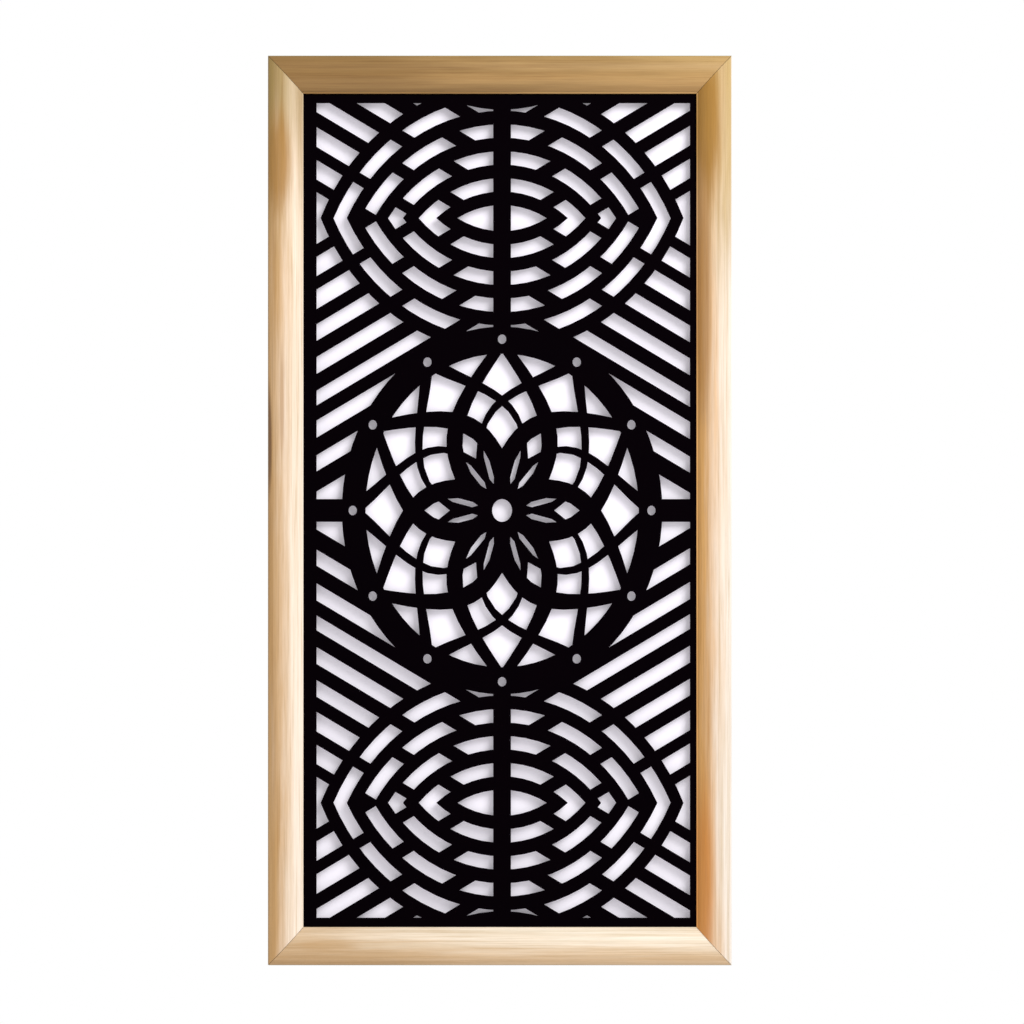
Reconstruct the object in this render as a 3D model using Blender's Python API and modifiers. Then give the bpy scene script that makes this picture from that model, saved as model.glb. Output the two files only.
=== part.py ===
"""Decorative wall panel: a mitred pine frame round a pierced black sheet.

The panel hangs flat on a wall.  X runs along its width, Z along its height,
and its front faces -Y.  The wall is the plane y = 0.  The origin is the
middle of the top rail's flat back, where the panel is held.
"""
import math

import bpy
import bmesh
import numpy as np
from mathutils import Vector
from mathutils.geometry import delaunay_2d_cdt

MM = 0.001

# Frame, outside sizes and the widths of its members as seen from the front.
PANEL_WIDTH = 408.0 * MM
PANEL_HEIGHT = 800.0 * MM
STILE_WIDTH = 31.0 * MM
RAIL_WIDTH = 33.2 * MM
MITRE_GAP = 0.3 * MM

# Section of the moulding: how far each level stands off the wall.
CROWN_HEIGHT = 20.0 * MM
OUTER_EDGE_HEIGHT = 14.0 * MM
SIGHT_EDGE_HEIGHT = 12.3 * MM
SIGHT_STEP = 0.7 * MM
SLOPE_FOOT_HEIGHT = SIGHT_EDGE_HEIGHT + SIGHT_STEP
CROWN_SHARE = 0.42
LIP_SHARE = 0.05
OUTER_FALL_ANGLE = 41.0
INNER_FALL_ANGLE = 46.0
OUTER_ARC_STEPS = 4
INNER_ARC_STEPS = 5

# Rebate at the back of the sight edge, and the sheet that lies in it.
REBATE_SHARE = 0.285
LIP_THICKNESS = 2.0 * MM
SHEET_THICKNESS = 3.0 * MM
SHEET_SEAT_GAP = 0.3 * MM
SHEET_EDGE_GAP = 0.3 * MM
SHEET_SHIFT = 1.9 * MM
SIGHT_HALF_WIDTH = PANEL_WIDTH / 2.0 - STILE_WIDTH
SIGHT_HALF_HEIGHT = PANEL_HEIGHT / 2.0 - RAIL_WIDTH
SHEET_HALF_WIDTH = SIGHT_HALF_WIDTH + REBATE_SHARE * STILE_WIDTH - SHEET_EDGE_GAP - SHEET_SHIFT
SHEET_HALF_HEIGHT = SIGHT_HALF_HEIGHT + REBATE_SHARE * RAIL_WIDTH - SHEET_EDGE_GAP

# Fretwork.  Its curves are drawn as true circles and then made taller.
TALLNESS = 1.147

# The sheet has a plain border, and its pattern fills the field inside that.
BORDER_LEFT = 16.1 * MM
BORDER_RIGHT = 14.0 * MM
BORDER_TOP = 16.9 * MM
FIELD_LEFT = SHEET_HALF_WIDTH - BORDER_LEFT
FIELD_RIGHT = SHEET_HALF_WIDTH - BORDER_RIGHT
FIELD_HALF_HEIGHT = (SHEET_HALF_HEIGHT - BORDER_TOP) / TALLNESS
UPRIGHT_BAR_WIDTH = 15.6 * MM
LEVEL_BAR_WIDTH = 17.5 * MM

# Two clusters of lens shaped rings, one above and one below the rosette.
CLUSTER_HEIGHT = 224.6 * MM
ARC_CENTRE_OFFSET = 72.4 * MM
EYE_HALF_HEIGHT = 10.1 * MM
EYE_RADIUS = ARC_CENTRE_OFFSET + EYE_HALF_HEIGHT
RING_SLOT_WIDTH = 10.5 * MM
RING_BAR_WIDTH = 10.2 * MM
RING_PITCH = RING_SLOT_WIDTH + RING_BAR_WIDTH
RING_SLOTS = 4

# Slanting bars.  Each one is placed by where it meets the upright axis,
# above the cluster's own level line, and has its own width.  It is drawn a
# little past the field, whose edge then trims it.
BAR_SLOPE = 0.5205
BAR_OVERRUN = 16.6 * MM
BAR_A_PLACE = -60.3 * MM
BAR_A_WIDTH = 9.6 * MM
BAR_B_PLACE = -35.4 * MM
BAR_B_WIDTH = 10.0 * MM
BAR_C_PLACE = -9.4 * MM
BAR_C_WIDTH = 11.4 * MM
BAR_D_PLACE = 15.4 * MM
BAR_D_WIDTH = 12.2 * MM
BAR_E_PLACE = 41.0 * MM
BAR_E_WIDTH = 12.7 * MM
BAR_F_PLACE = 64.6 * MM
BAR_F_WIDTH = 11.4 * MM
BAR_G_PLACE = 90.3 * MM
BAR_G_WIDTH = 13.4 * MM
BAR_H_PLACE = 117.2 * MM
BAR_H_WIDTH = 15.4 * MM

# Rosette in the middle of the sheet.
ROSETTE_PETALS = 6
ROSETTE_RADIUS = 141.2 * MM
ROSETTE_RING_WIDTH = 20.7 * MM
ROSETTE_OPENING_RADIUS = ROSETTE_RADIUS - ROSETTE_RING_WIDTH
DOT_INSET = 9.6 * MM
DOT_CIRCLE_RADIUS = ROSETTE_RADIUS - DOT_INSET
DOT_RADIUS = 3.75 * MM
HUB_HOLE_RADIUS = 8.75 * MM
HUB_RING_WIDTH = 12.25 * MM
HUB_RADIUS = HUB_HOLE_RADIUS + HUB_RING_WIDTH
LEAF_TIP_GAP = 0.6 * MM
LEAF_TIP_RADIUS = HUB_RADIUS + LEAF_TIP_GAP
LEAF_TIP_ANGLE = 10.0
DOT_SIDES = 12
HUB_HOLE_SIDES = 24
STROKE_STEPS = 10

# A petal stroke widens and bends as it runs from the ring to the hub, so each
# of its edges is a cubic curve.  Its four control points are shares of the
# rosette's opening radius, across and along the petal's upright axis, measured
# from the hub's middle, so the strokes always reach the ring.
BROAD_OUTER_EDGE = ((-0.087, 1.021), (-0.448, 0.610), (-0.456, 0.432), (-0.344, 0.199))
BROAD_INNER_EDGE = ((0.0, 1.008), (-0.183, 0.772), (-0.456, 0.419), (-0.154, 0.158))
NARROW_OUTER_EDGE = ((-0.427, 0.938), (-0.071, 0.768), (0.183, 0.743), (0.191, 0.328))
NARROW_INNER_EDGE = ((-0.481, 0.871), (-0.257, 0.768), (0.307, 0.714), (0.091, 0.199))
NARROW_ROOT = (-0.535, 0.900)

# Two mirrored strokes meet on an axis of the rosette.  Each one laps a little
# past that axis into the other, so that no slit is left between them.
LAP_ANGLE = 3.0
LAP_START_SHARE = 0.9

# How finely the curves are drawn, and the smallest hole a cutter leaves.
CHORD_ERROR = 0.12 * MM
SMALLEST_OPENING_SIDE = 1.75 * MM
SMALLEST_OPENING = SMALLEST_OPENING_SIDE ** 2
MERGE_DISTANCE = 0.002 * MM
STRAIGHT_TOLERANCE = 0.02 * MM
CORNER_SPACING = 0.15 * MM

# Finishes: linear base colours of the satin pine and of the matt lacquer.
TOP_RAIL_COLOUR = (0.46, 0.27, 0.10)
BOTTOM_RAIL_COLOUR = (0.78, 0.56, 0.31)
LEFT_STILE_COLOUR = (0.62, 0.42, 0.20)
RIGHT_STILE_COLOUR = (0.66, 0.40, 0.19)
LACQUER_COLOUR = (0.006, 0.005, 0.007)
PINE_ROUGHNESS = 0.48
LACQUER_ROUGHNESS = 0.62


def circle_points(radius, sides, centre=(0.0, 0.0), turn=0.0):
    """A regular polygon that stands for a circle."""
    points = []
    for step in range(sides):
        angle = turn + 2.0 * math.pi * step / sides
        points.append((centre[0] + radius * math.cos(angle), centre[1] + radius * math.sin(angle)))
    return points


def arc_points(radius, start, end, centre=(0.0, 0.0)):
    """Points along an arc, spaced so that no chord is off by more than CHORD_ERROR."""
    step_angle = 2.0 * math.acos(1.0 - CHORD_ERROR / radius)
    steps = max(1, math.ceil(abs(end - start) / step_angle))
    points = []
    for step in range(steps + 1):
        angle = start + (end - start) * step / steps
        points.append((centre[0] + radius * math.cos(angle), centre[1] + radius * math.sin(angle)))
    return points


def bezier_points(controls, steps):
    """Points along a cubic curve whose control points are shares of the opening's radius."""
    points = []
    for step in range(steps + 1):
        t = step / steps
        weights = ((1.0 - t) ** 3, 3.0 * t * (1.0 - t) ** 2, 3.0 * t * t * (1.0 - t), t ** 3)
        x = sum(weight * control[0] for weight, control in zip(weights, controls))
        z = sum(weight * control[1] for weight, control in zip(weights, controls))
        points.append((x * ROSETTE_OPENING_RADIUS, z * ROSETTE_OPENING_RADIUS))
    return points


def turned(points, angle, mirror=False):
    """The points turned about the middle of the sheet, mirrored first if asked."""
    sign = -1.0 if mirror else 1.0
    cosine = math.cos(angle)
    sine = math.sin(angle)
    return [(sign * x * cosine - z * sine, sign * x * sine + z * cosine) for x, z in points]


def flipped(points, x_sign, z_sign):
    return [(x * x_sign, z * z_sign) for x, z in points]


def rectangle(left, bottom, right, top):
    return [(left, bottom), (right, bottom), (right, top), (left, top)]


def lens(radius):
    """Two equal arcs that meet in points on the cluster's level line."""
    tip_angle = math.asin(ARC_CENTRE_OFFSET / radius)
    centre = (0.0, CLUSTER_HEIGHT - ARC_CENTRE_OFFSET)
    right_half = arc_points(radius, tip_angle, math.pi / 2.0, centre)
    left_half = [(-x, z) for x, z in reversed(right_half[:-1])]
    upper = right_half + left_half
    lower = [(x, 2.0 * CLUSTER_HEIGHT - z) for x, z in reversed(upper[1:-1])]
    return upper + lower


def fan(place):
    """The ground on the level line's side of a slanting edge, right of the upright axis."""
    reach = max(FIELD_LEFT, FIELD_RIGHT) + BAR_OVERRUN
    rise = place + BAR_SLOPE * reach
    far_side = [(reach, CLUSTER_HEIGHT - rise), (reach, CLUSTER_HEIGHT + rise)]
    if place < 0.0:
        return [(-place / BAR_SLOPE, CLUSTER_HEIGHT)] + far_side
    return [(0.0, CLUSTER_HEIGHT + place), (0.0, CLUSTER_HEIGHT - place)] + far_side


def stroke(outer_controls, inner_controls, tip_angle, lap_side, root=None):
    """Outline of one petal stroke, from the ring in to the hub and back."""
    outer = bezier_points(outer_controls, STROKE_STEPS)
    inner = bezier_points(inner_controls, STROKE_STEPS)
    meeting_x, meeting_z = outer[-1]
    lap_start = [(meeting_x * LAP_START_SHARE, meeting_z * LAP_START_SHARE)]
    lap = turned(lap_start, lap_side * math.radians(LAP_ANGLE))
    tip = (LEAF_TIP_RADIUS * math.cos(tip_angle), LEAF_TIP_RADIUS * math.sin(tip_angle))
    outline = outer + lap + [(0.0, 0.0), tip] + inner[::-1]
    if root is not None:
        outline.append((root[0] * ROSETTE_OPENING_RADIUS, root[1] * ROSETTE_OPENING_RADIUS))
    return outline


def slanting_bars():
    """The two edges of every slanting bar, from the level line outwards."""
    bars = (
        (BAR_A_PLACE, BAR_A_WIDTH),
        (BAR_B_PLACE, BAR_B_WIDTH),
        (BAR_C_PLACE, BAR_C_WIDTH),
        (BAR_D_PLACE, BAR_D_WIDTH),
        (BAR_E_PLACE, BAR_E_WIDTH),
        (BAR_F_PLACE, BAR_F_WIDTH),
        (BAR_G_PLACE, BAR_G_WIDTH),
        (BAR_H_PLACE, BAR_H_WIDTH),
    )
    return [(place - width / 2.0, place + width / 2.0) for place, width in bars]


def inside(points, outline):
    """For each point, whether it lies inside the outline."""
    x = points[:, 0]
    z = points[:, 1]
    result = np.zeros(len(points), dtype=bool)
    for (x1, z1), (x2, z2) in zip(outline, outline[1:] + outline[:1]):
        if z1 == z2:
            continue
        spans = (z1 > z) != (z2 > z)
        result ^= spans & (x < (x2 - x1) * (z - z1) / (z2 - z1) + x1)
    return result


class Fretwork:
    """Every outline of the pattern, and the rule that says what is cut away."""

    def __init__(self):
        self.sheet = rectangle(-SHEET_HALF_WIDTH, -SHEET_HALF_HEIGHT / TALLNESS,
                               SHEET_HALF_WIDTH, SHEET_HALF_HEIGHT / TALLNESS)
        self.field = rectangle(-FIELD_LEFT, -FIELD_HALF_HEIGHT, FIELD_RIGHT, FIELD_HALF_HEIGHT)
        self.upright = rectangle(-UPRIGHT_BAR_WIDTH / 2.0, -FIELD_HALF_HEIGHT,
                                 UPRIGHT_BAR_WIDTH / 2.0, FIELD_HALF_HEIGHT)
        self.level = rectangle(-FIELD_LEFT, -LEVEL_BAR_WIDTH / 2.0, FIELD_RIGHT, LEVEL_BAR_WIDTH / 2.0)
        self.disc = arc_points(ROSETTE_RADIUS, 0.0, 2.0 * math.pi)[:-1]
        self.opening = arc_points(ROSETTE_OPENING_RADIUS, 0.0, 2.0 * math.pi)[:-1]
        self.hub = arc_points(HUB_RADIUS, 0.0, 2.0 * math.pi)[:-1]
        self.hub_hole = circle_points(HUB_HOLE_RADIUS, HUB_HOLE_SIDES)
        self.shoulder = arc_points(ROSETTE_RADIUS, 0.0, 2.0 * math.pi, (0.0, 2.0 * CLUSTER_HEIGHT))[:-1]
        self.eye = lens(EYE_RADIUS)
        self.slots = []
        for number in range(1, RING_SLOTS + 1):
            outer_radius = EYE_RADIUS + number * RING_PITCH
            self.slots.append((lens(outer_radius - RING_SLOT_WIDTH), lens(outer_radius)))
        self.rim = lens(EYE_RADIUS + RING_SLOTS * RING_PITCH + RING_BAR_WIDTH)
        self.bars = [(fan(low), fan(high)) for low, high in slanting_bars()]
        half_turn = math.pi / ROSETTE_PETALS
        tip_offset = math.radians(LEAF_TIP_ANGLE)
        broad = stroke(BROAD_OUTER_EDGE, BROAD_INNER_EDGE, 4.0 * half_turn + tip_offset, 1.0)
        narrow = stroke(NARROW_OUTER_EDGE, NARROW_INNER_EDGE, 2.0 * half_turn + tip_offset, -1.0,
                        NARROW_ROOT)
        self.strokes = []
        self.dots = []
        for petal in range(ROSETTE_PETALS):
            angle = 2.0 * half_turn * petal
            for outline in (broad, narrow):
                self.strokes.append(turned(outline, angle))
                self.strokes.append(turned(outline, angle, mirror=True))
        for number in range(2 * ROSETTE_PETALS):
            angle = half_turn * number
            centre = (DOT_CIRCLE_RADIUS * math.cos(angle), DOT_CIRCLE_RADIUS * math.sin(angle))
            self.dots.append(circle_points(DOT_RADIUS, DOT_SIDES, centre, math.pi / DOT_SIDES))

    def outlines(self):
        """All outlines, each in every quarter of the sheet where it is drawn."""
        found = [self.sheet, self.field, self.upright, self.level]
        found += [self.disc, self.opening, self.hub, self.hub_hole]
        found += self.strokes + self.dots
        lenses = [self.eye, self.rim]
        for pair in self.slots:
            lenses += pair
        for z_sign in (1.0, -1.0):
            found += [flipped(outline, 1.0, z_sign) for outline in lenses + [self.shoulder]]
            for x_sign in (1.0, -1.0):
                for pair in self.bars:
                    found += [flipped(outline, x_sign, z_sign) for outline in pair]
        return found

    def is_cut(self, points):
        """For each point, whether the pattern leaves a hole there."""
        folded = np.abs(points)
        bars = [inside(folded, high) & ~inside(folded, low) for low, high in self.bars]
        odd_bars = np.logical_or.reduce(bars[0::2])
        even_bars = np.logical_or.reduce(bars[1::2])
        rings = inside(folded, self.eye)
        for number, (low, high) in enumerate(self.slots):
            slot = inside(folded, high) & ~inside(folded, low)
            crossing = odd_bars if number % 2 == 0 else even_bars
            rings |= slot & ~crossing
        rim = inside(folded, self.rim)
        ground = np.where(rim, rings, ~(odd_bars | even_bars))
        ground &= ~inside(points, self.upright) & ~inside(points, self.level)
        ground &= ~inside(folded, self.shoulder)
        petals = inside(points, self.opening) & ~inside(points, self.hub)
        for outline in self.strokes:
            petals &= ~inside(points, outline)
        petals |= inside(points, self.hub_hole)
        for outline in self.dots:
            petals |= inside(points, outline)
        cut = np.where(inside(points, self.disc), petals, ground)
        return cut & inside(points, self.field)


def triangulate(points, edges):
    """Split the flat ground into triangles that follow every edge."""
    flat = [Vector(point) for point in points]
    return delaunay_2d_cdt(flat, edges, [], 0, MERGE_DISTANCE)


def triangle_sides(triangle):
    return [tuple(sorted((triangle[i], triangle[(i + 1) % 3]))) for i in range(3)]


def side_table(triangles):
    """Which triangles lie on each side."""
    table = {}
    for number, triangle in enumerate(triangles):
        for side in triangle_sides(triangle):
            table.setdefault(side, []).append(number)
    return table


def fill_tiny_openings(points, triangles, table, cut):
    """Count as solid every hole that is too small to be made."""
    seen = set()
    for first in range(len(triangles)):
        if not cut[first] or first in seen:
            continue
        seen.add(first)
        group = [first]
        area = 0.0
        for number in group:
            a, b, c = (points[corner] for corner in triangles[number])
            area += abs((b - a).cross(c - a)) / 2.0
            for side in triangle_sides(triangles[number]):
                for other in table[side]:
                    if cut[other] and other not in seen:
                        seen.add(other)
                        group.append(other)
        if area < SMALLEST_OPENING:
            for number in group:
                cut[number] = False


def boundary_loops(points, table, cut):
    """Closed rings of corners between solid and cut ground."""
    following = {}
    for side, owners in table.items():
        solid = [number for number in owners if not cut[number]]
        if len(solid) == 1:
            following.setdefault(side[0], []).append(side[1])
            following.setdefault(side[1], []).append(side[0])
    unused = {corner: list(others) for corner, others in following.items()}
    loops = []
    for start in sorted(unused):
        while unused[start]:
            loop = [start]
            here = start
            while True:
                there = unused[here].pop()
                unused[there].remove(here)
                if there == start:
                    break
                loop.append(there)
                here = there
            loops.append([points[corner] for corner in loop])
    return loops


def without_spare_corners(loop):
    """The loop without corners that lie on a straight run or crowd a neighbour."""
    kept = list(loop)
    number = 0
    while number < len(kept) and len(kept) > 3:
        before = kept[number - 1]
        here = kept[number]
        after = kept[(number + 1) % len(kept)]
        run = after - before
        off_line = abs(run.cross(here - before)) / max(run.length, MERGE_DISTANCE)
        if off_line < STRAIGHT_TOLERANCE or (here - before).length < CORNER_SPACING:
            kept.pop(number)
            number = max(0, number - 1)
        else:
            number += 1
    return kept


def sheet_surface(fretwork):
    """Corners and triangles of the pierced sheet as a flat surface."""
    corners = []
    edges = []
    for outline in fretwork.outlines():
        first = len(corners)
        corners += [(x, z * TALLNESS) for x, z in outline]
        count = len(outline)
        edges += [(first + i, first + (i + 1) % count) for i in range(count)]
    points, _, triangles, _, _, _ = triangulate(corners, edges)
    centres = np.array([sum((points[corner] for corner in triangle), Vector((0.0, 0.0))) / 3.0
                        for triangle in triangles])
    centres[:, 1] /= TALLNESS
    cut = fretwork.is_cut(centres) | ~inside(centres, fretwork.sheet)
    table = side_table(triangles)
    fill_tiny_openings(points, triangles, table, cut)
    corners = []
    edges = []
    for loop in boundary_loops(points, table, cut):
        kept = without_spare_corners(loop)
        first = len(corners)
        corners += kept
        edges += [(first + i, first + (i + 1) % len(kept)) for i in range(len(kept))]
    points, clean_edges, triangles, _, edge_origins, _ = triangulate(corners, edges)
    walls = {tuple(sorted(edge)) for edge, origin in zip(clean_edges, edge_origins) if origin}
    return points, solid_triangles(triangles, walls)


def solid_triangles(triangles, walls):
    """Walk in from the outer edge, changing from solid to cut at every wall."""
    table = side_table(triangles)
    state = {}
    queue = []
    for side, owners in table.items():
        if len(owners) == 1 and owners[0] not in state:
            state[owners[0]] = True
            queue.append(owners[0])
    for number in queue:
        for side in triangle_sides(triangles[number]):
            for other in table[side]:
                if other not in state:
                    state[other] = state[number] != (side in walls)
                    queue.append(other)
    return [triangle for number, triangle in enumerate(triangles) if state[number]]


def principled(name, colour, roughness):
    material = bpy.data.materials.new(name)
    material.use_nodes = True
    shader = material.node_tree.nodes["Principled BSDF"]
    shader.inputs["Base Color"].default_value = (*colour, 1.0)
    shader.inputs["Roughness"].default_value = roughness
    shader.inputs["Metallic"].default_value = 0.0
    material.diffuse_color = (*colour, 1.0)
    return material


def add_object(name, mesh, material, collection):
    mesh.materials.append(material)
    item = bpy.data.objects.new(name, mesh)
    collection.objects.link(item)
    return item


def add_fret_sheet(collection):
    points, triangles = sheet_surface(Fretwork())
    front = SIGHT_EDGE_HEIGHT - LIP_THICKNESS - SHEET_SEAT_GAP
    surface = bmesh.new()
    corner_of = {}
    for triangle in triangles:
        face = []
        for corner in triangle:
            if corner not in corner_of:
                x, z = points[corner]
                corner_of[corner] = surface.verts.new((x + SHEET_SHIFT, -front, z + panel_middle()))
            face.append(corner_of[corner])
        surface.faces.new(face)
    bmesh.ops.recalc_face_normals(surface, faces=surface.faces)
    surface.normal_update()
    if surface.faces[0].normal.y > 0.0:
        bmesh.ops.reverse_faces(surface, faces=surface.faces)
    mesh = bpy.data.meshes.new("fret_sheet")
    surface.to_mesh(mesh)
    surface.free()
    lacquer = principled("black_lacquer", LACQUER_COLOUR, LACQUER_ROUGHNESS)
    sheet = add_object("fret_sheet", mesh, lacquer, collection)
    thickness = sheet.modifiers.new("sheet thickness", "SOLIDIFY")
    thickness.thickness = SHEET_THICKNESS
    thickness.offset = -1.0
    thickness.use_even_offset = True


def panel_middle():
    """Height of the panel's middle above the origin, which is on the top rail's back."""
    flat_back = RAIL_WIDTH * (1.0 - REBATE_SHARE)
    return flat_back / 2.0 - PANEL_HEIGHT / 2.0


def domed(share, edge_height, end_angle):
    """Height at a share of the way from the crown to an edge, falling along an arc."""
    reach = math.sin(math.radians(end_angle))
    fall = (1.0 - math.sqrt(1.0 - (reach * share) ** 2)) / (1.0 - math.sqrt(1.0 - reach ** 2))
    return CROWN_HEIGHT - (CROWN_HEIGHT - edge_height) * fall


def moulding_section():
    """Outline of the moulding: share of its width from the outer edge, and height."""
    slope_foot = 1.0 - LIP_SHARE
    outline = [(0.0, 0.0)]
    for step in range(OUTER_ARC_STEPS):
        share = 1.0 - step / OUTER_ARC_STEPS
        outline.append((CROWN_SHARE * (1.0 - share), domed(share, OUTER_EDGE_HEIGHT, OUTER_FALL_ANGLE)))
    for step in range(INNER_ARC_STEPS + 1):
        share = step / INNER_ARC_STEPS
        across = CROWN_SHARE + (slope_foot - CROWN_SHARE) * share
        outline.append((across, domed(share, SLOPE_FOOT_HEIGHT, INNER_FALL_ANGLE)))
    outline.append((slope_foot, SIGHT_EDGE_HEIGHT))
    outline.append((1.0, SIGHT_EDGE_HEIGHT))
    outline.append((1.0, SIGHT_EDGE_HEIGHT - LIP_THICKNESS))
    outline.append((1.0 - REBATE_SHARE, SIGHT_EDGE_HEIGHT - LIP_THICKNESS))
    outline.append((1.0 - REBATE_SHARE, 0.0))
    return outline


def add_member(name, upright, side, colour, collection):
    """One length of moulding with both ends cut to the mitre.

    Each end is cut by sliding the points of its section along the length
    in step with how far they are from the outer edge.
    """
    half_run = (PANEL_HEIGHT if upright else PANEL_WIDTH) / 2.0
    half_span = (PANEL_WIDTH if upright else PANEL_HEIGHT) / 2.0
    width = STILE_WIDTH if upright else RAIL_WIDTH
    slide = RAIL_WIDTH if upright else STILE_WIDTH
    pull_back = MITRE_GAP / 2.0 * math.hypot(width, slide) / width
    solid = bmesh.new()
    ends = []
    for end in (-1.0, 1.0):
        ring = []
        for share, height in moulding_section():
            along = end * (half_run - share * slide - pull_back)
            across = side * (half_span - share * width)
            x, z = (across, along) if upright else (along, across)
            ring.append(solid.verts.new((x, -height, z + panel_middle())))
        ends.append(ring)
        solid.faces.new(ring)
    count = len(ends[0])
    for i in range(count):
        after = (i + 1) % count
        solid.faces.new((ends[0][i], ends[0][after], ends[1][after], ends[1][i]))
    bmesh.ops.recalc_face_normals(solid, faces=solid.faces)
    mesh = bpy.data.meshes.new(name)
    solid.to_mesh(mesh)
    solid.free()
    add_object(name, mesh, principled(name + "_pine", colour, PINE_ROUGHNESS), collection)


def clear_scene():
    for item in list(bpy.data.objects):
        bpy.data.objects.remove(item, do_unlink=True)


def build_panel():
    clear_scene()
    collection = bpy.data.collections.new("decorative_wall_panel")
    bpy.context.scene.collection.children.link(collection)
    add_member("top_rail", False, 1.0, TOP_RAIL_COLOUR, collection)
    add_member("bottom_rail", False, -1.0, BOTTOM_RAIL_COLOUR, collection)
    add_member("left_stile", True, -1.0, LEFT_STILE_COLOUR, collection)
    add_member("right_stile", True, 1.0, RIGHT_STILE_COLOUR, collection)
    add_fret_sheet(collection)


build_panel()
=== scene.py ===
# %% [markdown]
# A decorative wall panel: a pine frame round a thin black sheet that is cut
# through with a rosette, rings and slanting bars.  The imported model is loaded
# first.  It says where every piece is, in metres, with the panel's front facing
# -Y, Z up, and the wall at y = 0, so nothing has to be fitted by eye.

import math

import bpy
import bmesh
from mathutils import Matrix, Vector


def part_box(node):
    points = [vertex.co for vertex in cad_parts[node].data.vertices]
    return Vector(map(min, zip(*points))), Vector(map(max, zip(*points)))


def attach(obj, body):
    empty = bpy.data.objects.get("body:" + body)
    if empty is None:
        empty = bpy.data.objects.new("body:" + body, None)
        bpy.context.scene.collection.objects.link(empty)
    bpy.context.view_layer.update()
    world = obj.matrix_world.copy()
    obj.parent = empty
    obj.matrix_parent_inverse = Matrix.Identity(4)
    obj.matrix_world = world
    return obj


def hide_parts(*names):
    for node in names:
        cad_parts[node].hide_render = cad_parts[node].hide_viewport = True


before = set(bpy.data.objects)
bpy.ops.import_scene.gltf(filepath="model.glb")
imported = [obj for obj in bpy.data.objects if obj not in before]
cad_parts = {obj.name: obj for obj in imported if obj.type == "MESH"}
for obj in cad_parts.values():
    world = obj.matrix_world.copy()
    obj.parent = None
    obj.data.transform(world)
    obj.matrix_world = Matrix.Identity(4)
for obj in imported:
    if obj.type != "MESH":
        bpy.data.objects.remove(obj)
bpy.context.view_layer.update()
MM = 0.001

# %% [markdown]
# The frame's sizes are read from the model.  The panel's outside comes from the
# stiles and the rails, and the width of each member is that of its box, so a
# change to the model is followed here.

# %% Sizes taken from the model
top_low, top_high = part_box("top_rail")
left_low, left_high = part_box("left_stile")
bottom_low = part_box("bottom_rail")[0]
right_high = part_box("right_stile")[1]
PANEL_LEFT = left_low[0]
PANEL_RIGHT = right_high[0]
PANEL_TOP = top_high[2]
PANEL_BOTTOM = bottom_low[2]
PANEL_WIDTH = PANEL_RIGHT - PANEL_LEFT
PANEL_HEIGHT = PANEL_TOP - PANEL_BOTTOM
MIDDLE_X = (PANEL_LEFT + PANEL_RIGHT) / 2.0
MIDDLE_Z = (PANEL_TOP + PANEL_BOTTOM) / 2.0
STILE_WIDTH = left_high[0] - left_low[0]
RAIL_WIDTH = top_high[2] - top_low[2]
FRAME_DEPTH = -top_low[1]
print(f"panel {PANEL_WIDTH / MM:.1f} x {PANEL_HEIGHT / MM:.1f} mm, members "
      f"{STILE_WIDTH / MM:.1f} and {RAIL_WIDTH / MM:.1f} mm wide")

# %% [markdown]
# The photograph is taken square on from a good distance.  Its 1024 pixels span
# 901 mm in a plane 12 mm off the wall, near the sight edge, and its middle is
# a little to the right of the panel's.  A long lens on a distant camera gives
# that flat view.  A near camera would show more of the frame's inner edges.

# %% Camera
PHOTO_PIXELS = 1024
MM_PER_PIXEL = 0.88
PANEL_MIDDLE_IN_PHOTO = (499.9, 510.45)
LENS = 100.0
SENSOR = 36.0
SPAN_PLANE = 12.0 * MM


def add_camera():
    """A camera square to the wall whose view spans what the photograph does."""
    span = PHOTO_PIXELS * MM_PER_PIXEL * MM
    distance = span * LENS / SENSOR
    middle = PHOTO_PIXELS / 2.0
    across = (middle - PANEL_MIDDLE_IN_PHOTO[0]) * MM_PER_PIXEL * MM
    down = (middle - PANEL_MIDDLE_IN_PHOTO[1]) * MM_PER_PIXEL * MM
    data = bpy.data.cameras.new("camera")
    data.lens = LENS
    data.sensor_width = SENSOR
    camera = bpy.data.objects.new("camera", data)
    camera.location = (MIDDLE_X + across, -SPAN_PLANE - distance, MIDDLE_Z - down)
    camera.rotation_euler = (math.radians(90.0), 0.0, 0.0)
    bpy.context.scene.collection.objects.link(camera)
    bpy.context.scene.camera = camera
    return camera


camera = add_camera()
print("camera", [round(v, 3) for v in camera.location])

# %% [markdown]
# The frame is a domed moulding, planed and sanded from pine.  Its section rises
# from a rounded outer edge to a crown, then falls along a longer curve to a
# thin lip at the sight edge, and a rebate is cut behind the lip for the sheet.
# A bevelled box would be quicker to make, but it wouldn't catch the light as the
# dome does.  Both slopes are arcs, so each needs only its end and its angle.

# %% Section of the moulding
CROWN_SHARE = 0.42
LIP_SHARE = 0.05
REBATE_SHARE = 0.285
OUTER_EDGE_HEIGHT = 14.0 * MM
SLOPE_FOOT_HEIGHT = 13.0 * MM
SIGHT_EDGE_HEIGHT = 12.3 * MM
LIP_THICKNESS = 2.0 * MM
OUTER_FALL_ANGLE = 41.0
INNER_FALL_ANGLE = 46.0
ARC_STEPS = 18
SHOULDER_ROUND = 2.4 * MM
SMALL_ROUND = 0.5 * MM


def domed(share, edge_height, end_angle):
    """Height at a share of the way from the crown to an edge, falling along an arc."""
    reach = math.sin(math.radians(end_angle))
    fall = (1.0 - math.sqrt(1.0 - (reach * share) ** 2)) / (1.0 - math.sqrt(1.0 - reach ** 2))
    return FRAME_DEPTH - (FRAME_DEPTH - edge_height) * fall


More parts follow.
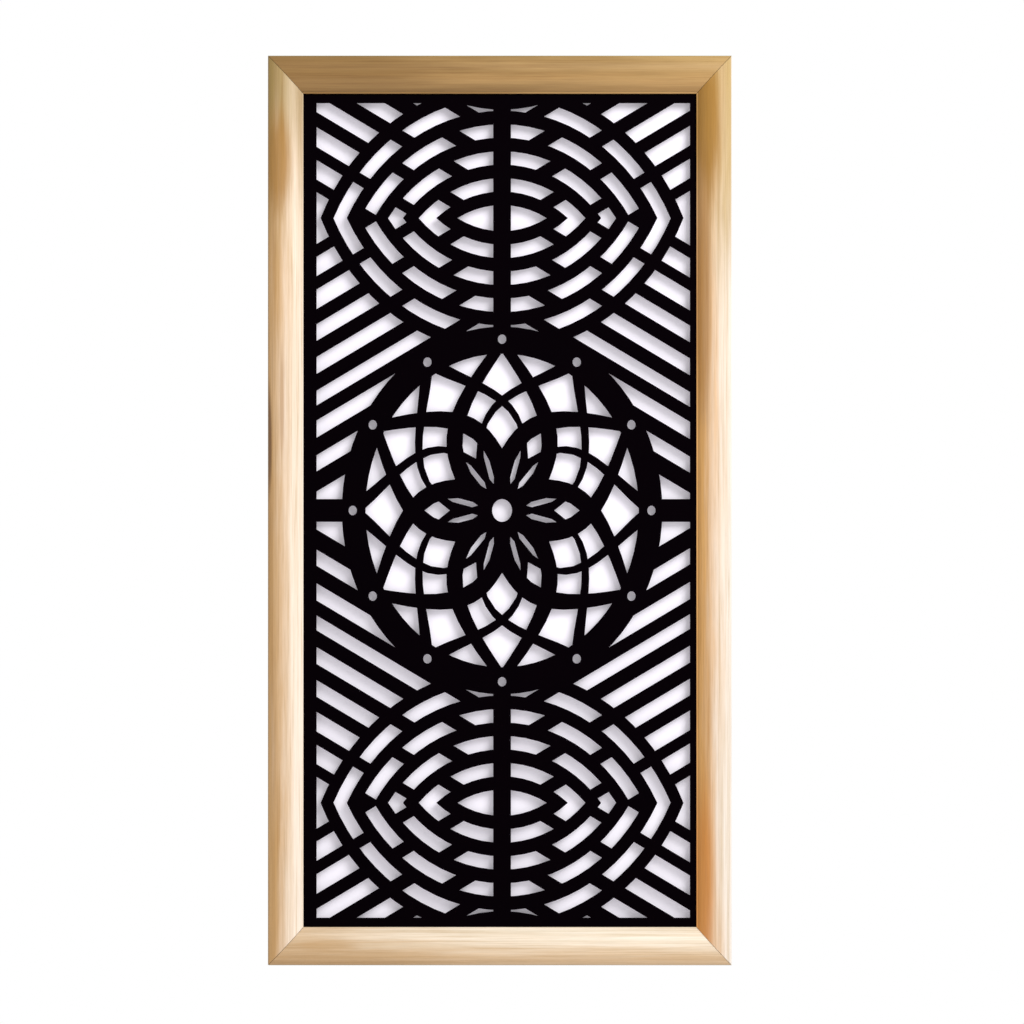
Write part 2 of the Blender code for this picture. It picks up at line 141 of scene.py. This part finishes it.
def moulding_outline(width):
    """Corners, in from the outer edge and off the wall, each with its rounding radius."""
    foot = (1.0 - LIP_SHARE) * width
    crown = CROWN_SHARE * width
    rebate = (1.0 - REBATE_SHARE) * width
    lip_back = SIGHT_EDGE_HEIGHT - LIP_THICKNESS
    outline = [((0.0, 0.0), SMALL_ROUND), ((0.0, OUTER_EDGE_HEIGHT), SHOULDER_ROUND)]
    for step in range(1, ARC_STEPS):
        share = 1.0 - step / ARC_STEPS
        height = domed(share, OUTER_EDGE_HEIGHT, OUTER_FALL_ANGLE)
        outline.append(((crown * (1.0 - share), height), 0.0))
    for step in range(ARC_STEPS + 1):
        share = step / ARC_STEPS
        height = domed(share, SLOPE_FOOT_HEIGHT, INNER_FALL_ANGLE)
        outline.append(((crown + (foot - crown) * share, height), 0.0))
    outline += [((foot, SIGHT_EDGE_HEIGHT), 0.0), ((width, SIGHT_EDGE_HEIGHT), SMALL_ROUND),
                ((width, lip_back), 0.0), ((rebate, lip_back), 0.0), ((rebate, 0.0), SMALL_ROUND)]
    return [(Vector(corner), radius) for corner, radius in outline]


print(len(moulding_outline(STILE_WIDTH)), "corners round the moulding")

# %% [markdown]
# Sandpaper takes the sharp corners off the wood.  A bevel modifier would round
# the mitred ends as well, so the corners are rounded here in the section, each
# by a small curve that starts and ends at its radius from the corner.

# %% Rounded corners
ROUND_STEPS = 4


def rounded_corner(before, corner, after, radius):
    """Points of a small curve that replaces a sharp corner of the section."""
    start = corner + (before - corner).normalized() * radius
    end = corner + (after - corner).normalized() * radius
    points = []
    for step in range(ROUND_STEPS + 1):
        t = step / ROUND_STEPS
        points.append(start * (1 - t) ** 2 + corner * 2 * t * (1 - t) + end * t ** 2)
    return points


def moulding_section(width):
    """The outline's points once its corners are rounded."""
    outline = moulding_outline(width)
    points = []
    for number, (corner, radius) in enumerate(outline):
        if radius == 0.0:
            points.append(corner)
            continue
        before = outline[number - 1][0]
        after = outline[(number + 1) % len(outline)][0]
        points += rounded_corner(before, corner, after, min(radius, (after - corner).length))
    return points


print(len(moulding_section(STILE_WIDTH)), "points round the moulding")

# %% [markdown]
# A mitre joint meets on the line from the outer corner to the sight corner.
# A curve with a bevel object would leave both ends square.  Sliding each point
# of the end section along the length, in step with how far it is from the outer
# edge, cuts that mitre exactly, also where the rails are wider than the stiles.

# %% Loft between two mitres
LENGTH_STEPS = 60
MITRE_GAP = 0.3 * MM


def member_rings(solid, upright, side):
    """The section's points at each step along a member, cut back to both mitres."""
    width = STILE_WIDTH if upright else RAIL_WIDTH
    slide = RAIL_WIDTH if upright else STILE_WIDTH
    half_run = (PANEL_HEIGHT if upright else PANEL_WIDTH) / 2.0
    half_span = (PANEL_WIDTH if upright else PANEL_HEIGHT) / 2.0
    pull_back = MITRE_GAP / 2.0 * math.hypot(width, slide) / width
    section = moulding_section(width)
    rings = []
    for step in range(LENGTH_STEPS + 1):
        place = 2.0 * step / LENGTH_STEPS - 1.0
        ring = []
        for across, height in section:
            along = place * (half_run - slide * across / width - pull_back)
            out = side * (half_span - across)
            x, z = (out, along) if upright else (along, out)
            ring.append(solid.verts.new((x + MIDDLE_X, -height, z + MIDDLE_Z)))
        rings.append(ring)
    return rings


print("mitre gap", round(MITRE_GAP / MM, 2), "mm")

# %% [markdown]
# The frame is two rails and two stiles, each a length of the same moulding.  A
# member is skinned from ring to ring and closed at both ends.  It shades smooth
# over the dome and stays crisp at the mitres, the lip and the rebate.

# %% Members of the frame
SHARP_ANGLE = 40.0
# Whether each member is upright, and on which side of the panel's middle it lies.
MEMBERS = {"top_rail": (False, 1.0), "bottom_rail": (False, -1.0),
           "left_stile": (True, -1.0), "right_stile": (True, 1.0)}


def add_member(name, upright, side):
    """One closed length of moulding."""
    solid = bmesh.new()
    rings = member_rings(solid, upright, side)
    for first, second in zip(rings, rings[1:]):
        for i in range(len(first)):
            after = (i + 1) % len(first)
            solid.faces.new((first[i], first[after], second[after], second[i]))
    solid.faces.new(rings[0])
    solid.faces.new(rings[-1])
    bmesh.ops.recalc_face_normals(solid, faces=solid.faces)
    mesh = bpy.data.meshes.new(name)
    solid.to_mesh(mesh)
    solid.free()
    mesh.shade_smooth()
    mesh.set_sharp_from_angle(angle=math.radians(SHARP_ANGLE))
    member = bpy.data.objects.new(name, mesh)
    bpy.context.scene.collection.objects.link(member)
    return member


members = {}
for node_name, (upright, side) in MEMBERS.items():
    piece = add_member("pine_" + node_name, upright, side)
    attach(piece, "root")
    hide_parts(node_name)
    members[node_name] = piece
print("frame members", {name: len(piece.data.polygons) for name, piece in members.items()})

# %% [markdown]
# Materials are built from nodes.  Small helpers are enough: one turns a colour
# as it is seen on screen into the linear values that a shader wants, one starts
# a material, and one adds a node with its settings and inputs.  An input that is
# a socket is linked, and any other is set as a plain value.

# %% Helpers for colours and nodes
WHITE = "#ffffff"


def linear(colour):
    """A six-figure screen colour as linear red, green, blue and alpha."""
    parts = []
    for place in (1, 3, 5):
        value = int(colour[place:place + 2], 16) / 255.0
        parts.append(value / 12.92 if value <= 0.04045 else ((value + 0.055) / 1.055) ** 2.4)
    return (*parts, 1.0)


def new_material(name):
    """A material, its node tree and its shader."""
    material = bpy.data.materials.new(name)
    material.use_nodes = True
    tree = material.node_tree
    return material, tree, tree.nodes["Principled BSDF"]


def add_node(tree, kind, inputs=None, **settings):
    """A node with its settings; each input is given a socket or a plain value."""
    node = tree.nodes.new(kind)
    for name, value in settings.items():
        setattr(node, name, value)
    for name, source in (inputs or {}).items():
        if isinstance(source, bpy.types.NodeSocket):
            tree.links.new(source, node.inputs[name])
        else:
            node.inputs[name].default_value = source
    return node


print("white as linear values", linear(WHITE))

# %% [markdown]
# The frame is pine, sanded and sealed with a thin clear satin coat.  Pine is
# pale cream to honey brown, and its grain runs along each member.  The pattern
# is worked out from the place of each point along, across and into the member,
# so it runs over the dome as real grain does.  Image textures would need
# pictures and would stretch there.

# %% Place in the grain


def grain_place(tree, upright, side):
    """Millimetres along the member, in from its outer edge, and off the wall."""
    place = add_node(tree, "ShaderNodeTexCoord").outputs["Object"]
    parts = add_node(tree, "ShaderNodeSeparateXYZ", {"Vector": place})
    if upright:
        along = ("Z", -1.0, PANEL_TOP)
        across = ("X", -side, PANEL_RIGHT if side > 0.0 else -PANEL_LEFT)
    else:
        along = ("X", 1.0, -PANEL_LEFT)
        across = ("Z", -side, PANEL_TOP if side > 0.0 else -PANEL_BOTTOM)
    grain = add_node(tree, "ShaderNodeCombineXYZ")
    for number, (axis, sign, start) in enumerate((along, across, ("Y", -1.0, 0.0))):
        scaled = add_node(tree, "ShaderNodeMath",
                          {0: parts.outputs[axis], 1: sign / MM, 2: start / MM},
                          operation="MULTIPLY_ADD")
        tree.links.new(scaled.outputs["Value"], grain.inputs[number])
    return grain.outputs["Vector"]


print("a stile's grain runs", round(PANEL_HEIGHT / MM), "mm")

# %% [markdown]
# Every pattern in the wood is noise drawn out along the grain, and its real
# length and width in millimetres set the stretch: clouds of tone, broad stripes,
# hairlines and fibres.  Pine's own fibres are some 0.04 mm wide.  That is too
# fine to show, so they are drawn 0.5 mm wide.  Wave textures would give stripes
# as well, but too even ones.

# %% Patterns in the grain
CLOUDS = {"length": 190.0, "width": 12.0, "detail": 4.0, "roughness": 0.6, "distortion": 0.3,
          "shift": 0.0}
STRIPES = {"length": 420.0, "width": 5.0, "detail": 3.0, "roughness": 0.6, "distortion": 0.5,
           "shift": 2.0}
HAIRLINES = {"length": 90.0, "width": 1.3, "detail": 5.0, "roughness": 0.65, "distortion": 0.3,
             "shift": 5.0}
FIBRES = {"length": 26.0, "width": 0.5, "detail": 4.0, "roughness": 0.65, "distortion": 0.0,
          "shift": 7.0}


def grain_noise(tree, grain, pattern, seed):
    """Noise with features of the pattern's real length and width."""
    place = seed + pattern["shift"]
    stretch = (1.0 / pattern["length"], 1.0 / pattern["width"], 1.0 / pattern["width"])
    stretched = add_node(tree, "ShaderNodeMapping",
                         {"Vector": grain, "Scale": stretch, "Location": (place, -place, place / 2.0)})
    noise = add_node(tree, "ShaderNodeTexNoise",
                     {"Vector": stretched.outputs["Vector"], "Scale": 1.0, "Detail": pattern["detail"],
                      "Roughness": pattern["roughness"], "Distortion": pattern["distortion"]})
    return noise.outputs["Fac"]


print("fibres", FIBRES["length"], "x", FIBRES["width"], "mm")

# %% [markdown]
# A board's tone drifts along its length and from its outer edge to its sight edge.  Part of that is browner
# heartwood running into paler sapwood, and part is painted light: along the rails the tone turns lighter to
# the right, towards the light, and on the left stile and the bottom rail the pale sight tone is a painted
# highlight on the slope that faces the light.  One flat tone would look like paint.  Two soft blends are
# enough, and the clouds push their edges to and fro.  Each layer is a factor, a colour and the way that it
# goes on the wood.

# %% Drift of a board's tone, partly painted light
WANDER = 0.22
CLOUD_LOW, CLOUD_HIGH = 0.25, 0.75
SETTLE_START, SETTLE_END = 0.1, 1.0
SIGHT_START, SIGHT_END = 0.05, 0.95
SIGHT_STRENGTH_AT_START = 0.3


def edge_wander(tree, clouds):
    """How far the clouds push a soft edge, either way, as a share of the blend."""
    return add_node(tree, "ShaderNodeMapRange",
                    {"Value": clouds, "From Min": CLOUD_LOW, "From Max": CLOUD_HIGH,
                     "To Min": -WANDER, "To Max": WANDER}).outputs["Result"]


def tone_and_painted_light_layers(tree, parts, wander, upright, board):
    """Blends to the board's main tone along it, and to its sight tone across it; both are partly painted
    light.
    """
    length = (PANEL_HEIGHT if upright else PANEL_WIDTH) / MM
    width = (STILE_WIDTH if upright else RAIL_WIDTH) / MM
    run = add_node(tree, "ShaderNodeMath",
                   {0: parts.outputs["X"], 1: 1.0 / (board["fade"] * length), 2: wander},
                   operation="MULTIPLY_ADD")
    main_tone_and_painted_light = add_node(tree, "ShaderNodeMapRange",
                       {"Value": run.outputs["Value"], "From Min": SETTLE_START,
                        "From Max": SETTLE_END}, interpolation_type="SMOOTHSTEP").outputs["Result"]
    across = add_node(tree, "ShaderNodeMath", {0: parts.outputs["Y"], 1: 1.0 / width, 2: wander},
                      operation="MULTIPLY_ADD")
    sight = add_node(tree, "ShaderNodeMapRange",
                     {"Value": across.outputs["Value"], "From Min": SIGHT_START,
                      "From Max": SIGHT_END}, interpolation_type="SMOOTHSTEP")
    held_back = add_node(tree, "ShaderNodeMapRange",
                         {"Value": main_tone_and_painted_light, "To Min": SIGHT_STRENGTH_AT_START})
    sight_tone_and_highlight = add_node(tree, "ShaderNodeMath",
                           {0: sight.outputs["Result"], 1: held_back.outputs["Result"]},
                           operation="MULTIPLY")
    # The main and sight tones carry painted light as well as the wood's own tone: lighter to the right
    # along the rails, and a painted highlight in the pale sight tone of the left stile and the bottom rail.
    return [(main_tone_and_painted_light, linear(board["main"]), "MIX"),
            (sight_tone_and_highlight.outputs["Value"], linear(board["sight"]), "MIX")]


print("soft edges wander by", WANDER, "of a blend, either way")

# %% [markdown]
# Softwood grows a broad pale band in spring and a narrow darker one in summer,
# the late wood.  Along a board they show as long stripes and as hairlines.
# Multiplying by a tint darkens the wood and keeps its own tone, where mixing in
# a brown would cloud it.

# %% Late wood
LATE_WOOD_TINT = "#d8c8a8"
# Each pattern with the noise levels where it starts and is full, and its strength.
LATE_WOOD = ((STRIPES, 0.35, 0.7, 0.45), (HAIRLINES, 0.45, 0.76, 0.6))


def late_wood_layers(tree, grain, seed):
    """The late wood's tint, on the stripes and on the hairlines."""
    layers = []
    for pattern, low, high, strength in LATE_WOOD:
        lines = add_node(tree, "ShaderNodeMapRange",
                         {"Value": grain_noise(tree, grain, pattern, seed), "From Min": low,
                          "From Max": high, "To Max": strength}, interpolation_type="SMOOTHSTEP")
        layers.append((lines.outputs["Result"], linear(LATE_WOOD_TINT), "MULTIPLY"))
    return layers


print(len(LATE_WOOD), "patterns of late wood")

# %% [markdown]
# Here and there a resin streak or a patch of heartwood comes to the surface.
# Each is a long soft oval of colour that lies along the grain.  Painting them
# in would need an image.  A distance that is measured in the streak's own half
# sizes does the same, and its edge wanders with the clouds.

# %% Streaks
STREAK_CORE = 0.55
STREAK_END = 1.5


def streak_layers(tree, grain, wander, streaks):
    """One layer for each streak: its middle, its half size, its colour and its strength."""
    layers = []
    for (along, across), (half_length, half_width), colour, strength in streaks:
        local = add_node(tree, "ShaderNodeMapping",
                         {"Vector": grain, "Scale": (1.0 / half_length, 1.0 / half_width, 0.0),
                          "Location": (-along / half_length, -across / half_width, 0.0)})
        distance = add_node(tree, "ShaderNodeVectorMath", {0: local.outputs["Vector"]},
                            operation="LENGTH")
        ragged = add_node(tree, "ShaderNodeMath", {0: distance.outputs["Value"], 1: wander},
                          operation="ADD")
        soft = add_node(tree, "ShaderNodeMapRange",
                        {"Value": ragged.outputs["Value"], "From Min": STREAK_END,
                         "From Max": STREAK_CORE, "To Max": strength},
                        interpolation_type="SMOOTHSTEP")
        layers.append((soft.outputs["Result"], linear(colour), "MIX"))
    return layers


print("a streak fades out at", STREAK_END, "times its half size")

# %% [markdown]
# The finest layer is the fibres, a grey a little over or under one that multiplies the wood.  Along the
# outer arris a thin line has another tone.  It is painted light: painted shade on the left stile and the
# bottom rail, where the rounded edge faces away from the light, a painted highlight on the right stile, and
# a darker line on the top rail.

# %% Fibres and the arris line of painted light
FIBRE_LOW, FIBRE_HIGH = 0.3, 0.72
FIBRE_PALE, FIBRE_DARK = 1.06, 0.9
ARRIS_WIDTH = 1.3
ARRIS_STRENGTH = 0.7


def fibre_layer(tree, fibres):
    """Fine pale and dark fibres over the whole wood."""
    shade = add_node(tree, "ShaderNodeMapRange",
                     {"Value": fibres, "From Min": FIBRE_LOW, "From Max": FIBRE_HIGH,
                      "To Min": FIBRE_PALE, "To Max": FIBRE_DARK}).outputs["Result"]
    grey = add_node(tree, "ShaderNodeCombineColor", {"Red": shade, "Green": shade, "Blue": shade})
    return 1.0, grey.outputs["Color"], "MULTIPLY"


def arris_shade_and_highlight_layer(tree, parts, tone):
    """A thin line of painted shade or painted highlight that fades out inwards from the outer edge."""
    line = add_node(tree, "ShaderNodeMapRange",
                    {"Value": parts.outputs["Y"], "From Min": ARRIS_WIDTH, "From Max": 0.0,
                     "To Max": ARRIS_STRENGTH}, interpolation_type="SMOOTHSTEP")
    return line.outputs["Result"], linear(tone), "MIX"


print("arris line", ARRIS_WIDTH, "mm wide")

# %% [markdown]
# The layers go on from the board's start tone up.  The clear coat is satin, so
# the wood has a broad soft sheen: a roughness near 0.4, a little uneven where
# the coat is thinner, over the usual index of 1.5, and fibres that stand up by
# less than a tenth of a millimetre.

# %% Sealed pine
# Where a Mix node keeps its factor, its two colours and its result.
MIX_FACTOR, MIX_FIRST, MIX_SECOND, MIX_RESULT = 0, 6, 7, 2
PINE_IOR = 1.5
PINE_ROUGHNESS = 0.4
SMOOTHER, ROUGHER = 0.05, 0.08
COAT_LOW, COAT_HIGH = 0.3, 0.7
FIBRE_BUMP = 0.2
FIBRE_RELIEF = 0.08 * MM


def sealed_pine(name, upright, side, board):
    """Pine for one member, with the tones and streaks of its own board."""
    material, tree, shader = new_material(name)
    grain = grain_place(tree, upright, side)
    parts = add_node(tree, "ShaderNodeSeparateXYZ", {"Vector": grain})
    clouds = grain_noise(tree, grain, CLOUDS, board["seed"])
    fibres = grain_noise(tree, grain, FIBRES, board["seed"])
    wander = edge_wander(tree, clouds)
    layers = tone_and_painted_light_layers(tree, parts, wander, upright, board)
    layers += late_wood_layers(tree, grain, board["seed"])
    layers += streak_layers(tree, grain, wander, board["streaks"])
    # The arris line is painted shade on the left stile and the bottom rail, and a painted highlight on the
    # right stile.
    layers += [fibre_layer(tree, fibres), arris_shade_and_highlight_layer(tree, parts, board["arris"])]
    wood = linear(board["start"])
    for factor, colour, blend in layers:
        wood = add_node(tree, "ShaderNodeMix",
                        {MIX_FACTOR: factor, MIX_FIRST: wood, MIX_SECOND: colour},
                        data_type="RGBA", blend_type=blend).outputs[MIX_RESULT]
    tree.links.new(wood, shader.inputs["Base Color"])
    coat = add_node(tree, "ShaderNodeMapRange",
                    {"Value": clouds, "From Min": COAT_LOW, "From Max": COAT_HIGH,
                     "To Min": PINE_ROUGHNESS - SMOOTHER, "To Max": PINE_ROUGHNESS + ROUGHER})
    tree.links.new(coat.outputs["Result"], shader.inputs["Roughness"])
    bump = add_node(tree, "ShaderNodeBump",
                    {"Height": fibres, "Strength": FIBRE_BUMP, "Distance": FIBRE_RELIEF})
    tree.links.new(bump.outputs["Normal"], shader.inputs["Normal"])
    shader.inputs["IOR"].default_value = PINE_IOR
    return material


print("pine roughness", PINE_ROUGHNESS - SMOOTHER, "to", PINE_ROUGHNESS + ROUGHER)

# %% [markdown]
# Each member was cut from another board, so each has its own tones: at its start, for most of it and at its
# sight edge.  Some of these tones are painted light as well: the rails' darker start tones at their left
# ends are painted shade away from the light, the pale sight tones of the left stile and the bottom rail are
# a painted highlight, and the right stile's pale main tone is partly a painted highlight.  The arris tone
# is painted shade on the left stile and the bottom rail, a painted highlight on the right stile, and a
# darker line on the top rail.  Fade is the share of its length over which the start tone goes.  A streak's
# middle and half size are in millimetres along and across.  One shared material would make four members
# alike, which real mouldings never are.

# %% Four boards of pine
BOARDS = {
    # Pale sight tones, the right stile's pale main tone and the rails' darker left ends are partly painted
    # light; the arris tones are painted shade, or a painted highlight on the right stile.
    "top_rail": {"start": "#8d6b38", "main": "#c19f66", "sight": "#b88f55", "arris": "#8d8654",
                 "fade": 1.2, "seed": 1.0, "streaks": ()},
    "bottom_rail": {"start": "#cba778", "main": "#dfc098", "sight": "#f6ead8", "arris": "#96866a",
                    "fade": 0.5, "seed": 5.0,
                    "streaks": (((52.0, 18.0), (26.0, 5.0), "#b98e55", 0.45),)},
    "left_stile": {"start": "#a88b4e", "main": "#cfa46b", "sight": "#f8e9d8", "arris": "#94794c",
                   "fade": 0.25, "seed": 9.0,
                   "streaks": (((93.0, 9.0), (42.0, 11.0), "#a6752c", 0.75),
                               ((337.0, 1.2), (44.0, 2.4), "#6b4624", 0.8),
                               ((305.0, 13.0), (46.0, 2.0), "#a87c4c", 0.5))},
    "right_stile": {"start": "#bfa26c", "main": "#eadfd2", "sight": "#dda862", "arris": "#fbf6f0",
                    "fade": 0.36, "seed": 13.0,
                    "streaks": (((62.0, 22.0), (66.0, 11.0), "#a0701c", 0.85),
                                ((205.0, 26.0), (110.0, 6.5), "#a5702c", 0.65),
                                ((728.0, 25.0), (84.0, 8.0), "#c87a24", 0.65))},
}
for node_name, (upright, side) in MEMBERS.items():
    pine = sealed_pine("sealed_pine_" + node_name, upright, side, BOARDS[node_name])
    members[node_name].data.materials.append(pine)
print("pine on", ", ".join(BOARDS))

# %% [markdown]
# The sheet is thin fibreboard, cut through and then sprayed with dead matt
# black lacquer, which gives the eye almost no reflection.  The spray leaves a
# fine pebbled skin, and the cut walls soak it up and stay a touch browner.  Real
# pebbles are some 0.1 mm across, too fine to show, so they are drawn at 0.7 mm.
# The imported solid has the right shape, so it stays and only gets this finish.

# %% Matt black lacquer
SPRAY_PEBBLE = 0.7 * MM
PEBBLE_DETAIL = 2.0
PEBBLE_BUMP = 0.2
PEBBLE_RELIEF = 0.05 * MM
LACQUER_CLOUD = 45.0 * MM
CLOUD_DETAIL = 3.0
FACE_DARK, FACE_PALE = "#030003", "#050104"
CUT_WALL = "#090505"
LACQUER_SMOOTH, LACQUER_ROUGH = 0.62, 0.78
LACQUER_SPECULAR = 0.012


def lacquer_colour(tree, cloud):
    """Cloudy black on the flat faces and a browner black on the cut walls."""
    facing = add_node(tree, "ShaderNodeNewGeometry").outputs["Normal"]
    parts = add_node(tree, "ShaderNodeSeparateXYZ", {"Vector": facing})
    flat = add_node(tree, "ShaderNodeMath", {0: parts.outputs["Y"]}, operation="ABSOLUTE")
    face = add_node(tree, "ShaderNodeMix",
                    {MIX_FACTOR: cloud, MIX_FIRST: linear(FACE_DARK), MIX_SECOND: linear(FACE_PALE)},
                    data_type="RGBA").outputs[MIX_RESULT]
    return add_node(tree, "ShaderNodeMix",
                    {MIX_FACTOR: flat.outputs["Value"], MIX_FIRST: linear(CUT_WALL), MIX_SECOND: face},
                    data_type="RGBA").outputs[MIX_RESULT]


def matt_black_lacquer():
    """Dead matt black with a pebbled skin."""
    material, tree, shader = new_material("matt_black_lacquer")
    place = add_node(tree, "ShaderNodeTexCoord").outputs["Object"]
    cloud = add_node(tree, "ShaderNodeTexNoise",
                     {"Vector": place, "Scale": 1.0 / LACQUER_CLOUD, "Detail": CLOUD_DETAIL}).outputs["Fac"]
    pebbles = add_node(tree, "ShaderNodeTexNoise",
                       {"Vector": place, "Scale": 1.0 / SPRAY_PEBBLE, "Detail": PEBBLE_DETAIL})
    rough = add_node(tree, "ShaderNodeMapRange",
                     {"Value": cloud, "To Min": LACQUER_SMOOTH, "To Max": LACQUER_ROUGH})
    bump = add_node(tree, "ShaderNodeBump",
                    {"Height": pebbles.outputs["Fac"], "Strength": PEBBLE_BUMP, "Distance": PEBBLE_RELIEF})
    tree.links.new(lacquer_colour(tree, cloud), shader.inputs["Base Color"])
    tree.links.new(rough.outputs["Result"], shader.inputs["Roughness"])
    tree.links.new(bump.outputs["Normal"], shader.inputs["Normal"])
    shader.inputs["Specular IOR Level"].default_value = LACQUER_SPECULAR
    return material


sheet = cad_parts["fret_sheet"]
sheet.material_slots[0].link = "OBJECT"
sheet.material_slots[0].material = matt_black_lacquer()
print("lacquer on", sheet.name)

# %% [markdown]
# A white card stands for the wall behind the sheet, where the sheet's shadow
# falls.  It is matt board that glows a little, as a bright wall does in a
# photograph.  It lies in the hollow of the frame, 2 mm off the wall, so the
# shadow has a narrow soft edge.  A whole wall would hide the panel from behind.
# The card's back face is clear for the same reason.

# %% Wall card
CARD_INSET = 25.0 * MM
CARD_PLACE = -2.0 * MM
CARD_WHITE = "#f4f0f8"
CARD_ROUGHNESS = 0.9
CARD_GLOW = "#fbf6ff"
CARD_GLOW_STRENGTH = 0.21


def flat_stage(name, corners, material):
    """A flat face that belongs to the stage and not to the panel."""
    mesh = bpy.data.meshes.new(name)
    mesh.from_pydata(corners, [], [tuple(range(len(corners)))])
    mesh.materials.append(material)
    stage = bpy.data.objects.new(name, mesh)
    bpy.context.scene.collection.objects.link(stage)
    return stage


def white_card():
    """Matt white board, clear when it is seen from behind."""
    material, tree, shader = new_material("white_card")
    shader.inputs["Base Color"].default_value = linear(CARD_WHITE)
    shader.inputs["Roughness"].default_value = CARD_ROUGHNESS
    shader.inputs["Emission Color"].default_value = linear(CARD_GLOW)
    shader.inputs["Emission Strength"].default_value = CARD_GLOW_STRENGTH
    shader.inputs["Specular IOR Level"].default_value = 0.0
    clear = add_node(tree, "ShaderNodeBsdfTransparent")
    back = add_node(tree, "ShaderNodeNewGeometry").outputs["Backfacing"]
    either = add_node(tree, "ShaderNodeMixShader",
                      {0: back, 1: shader.outputs["BSDF"], 2: clear.outputs["BSDF"]})
    tree.links.new(either.outputs["Shader"], tree.nodes["Material Output"].inputs["Surface"])
    return material


left = PANEL_LEFT + CARD_INSET
right = PANEL_RIGHT - CARD_INSET
low = PANEL_BOTTOM + CARD_INSET
high = PANEL_TOP - CARD_INSET
card = flat_stage("wall_card", [(left, CARD_PLACE, low), (right, CARD_PLACE, low),
                                (right, CARD_PLACE, high), (left, CARD_PLACE, high)], white_card())
print("card", [round(v, 3) for v in card.dimensions])

# %% [markdown]
# The floor is plain and pale, matt as a painted studio floor is.  It lies a
# little way under the panel, below the photograph's view, and sends soft light
# up to the bottom rail.

# %% Floor
FLOOR_TONE = "#f1eff2"
FLOOR_ROUGHNESS = 0.85
FLOOR_DROP = 90.0 * MM
FLOOR_SIZE = 6.0


def pale_floor():
    """Matt pale paint."""
    material, tree, shader = new_material("pale_floor")
    shader.inputs["Base Color"].default_value = linear(FLOOR_TONE)
    shader.inputs["Roughness"].default_value = FLOOR_ROUGHNESS
    return material


floor_level = PANEL_BOTTOM - FLOOR_DROP
half = FLOOR_SIZE / 2.0
flat_stage("floor", [(-half, -FLOOR_SIZE, floor_level), (half, -FLOOR_SIZE, floor_level),
                     (half, 0.0, floor_level), (-half, 0.0, floor_level)], pale_floor())
print("floor at", round(floor_level, 3))

# %% [markdown]
# The light is one large soft box, up and to the right of the camera, in an even
# white room.  The slopes that face it are pale: the right stile's outer slope
# and the left stile's inner one.  The sheet's shadow falls down and to the left.
# A small hard lamp would draw crisp dark shadows that the photograph hasn't got.
# The camera sees the room as plain white, while the room lights more gently.

# %% Light
KEY_OFFSET = Vector((1.45, -1.95, 1.6))
KEY_SIZE = 1.5
KEY_POWER = 66.0
ROOM_STRENGTH = 0.6
SEEN_STRENGTH = 1.0


def add_key_light():
    """A square soft box, in metres from the panel's middle and aimed at it."""
    data = bpy.data.lights.new("soft_box", "AREA")
    data.shape = "SQUARE"
    data.size = KEY_SIZE
    data.energy = KEY_POWER
    light = bpy.data.objects.new("soft_box", data)
    light.location = Vector((MIDDLE_X, 0.0, MIDDLE_Z)) + KEY_OFFSET
    light.rotation_euler = (-KEY_OFFSET).to_track_quat("-Z", "Y").to_euler()
    bpy.context.scene.collection.objects.link(light)
    return light


def add_room():
    """White surroundings, dimmer as a light than as they are seen."""
    world = bpy.data.worlds.new("white_room")
    world.use_nodes = True
    bpy.context.scene.world = world
    tree = world.node_tree
    lit = tree.nodes["Background"]
    lit.inputs["Color"].default_value = linear(WHITE)
    lit.inputs["Strength"].default_value = ROOM_STRENGTH
    seen = add_node(tree, "ShaderNodeBackground", {"Color": linear(WHITE), "Strength": SEEN_STRENGTH})
    path = add_node(tree, "ShaderNodeLightPath")
    either = add_node(tree, "ShaderNodeMixShader",
                      {0: path.outputs["Is Camera Ray"], 1: lit.outputs["Background"],
                       2: seen.outputs["Background"]})
    tree.links.new(either.outputs["Shader"], tree.nodes["World Output"].inputs["Surface"])


key_light = add_key_light()
add_room()
bpy.context.scene.view_settings.view_transform = "Standard"
print("key light at", [round(v, 2) for v in key_light.location])

# %% [markdown]

# %% End of the scene
print("scene built")
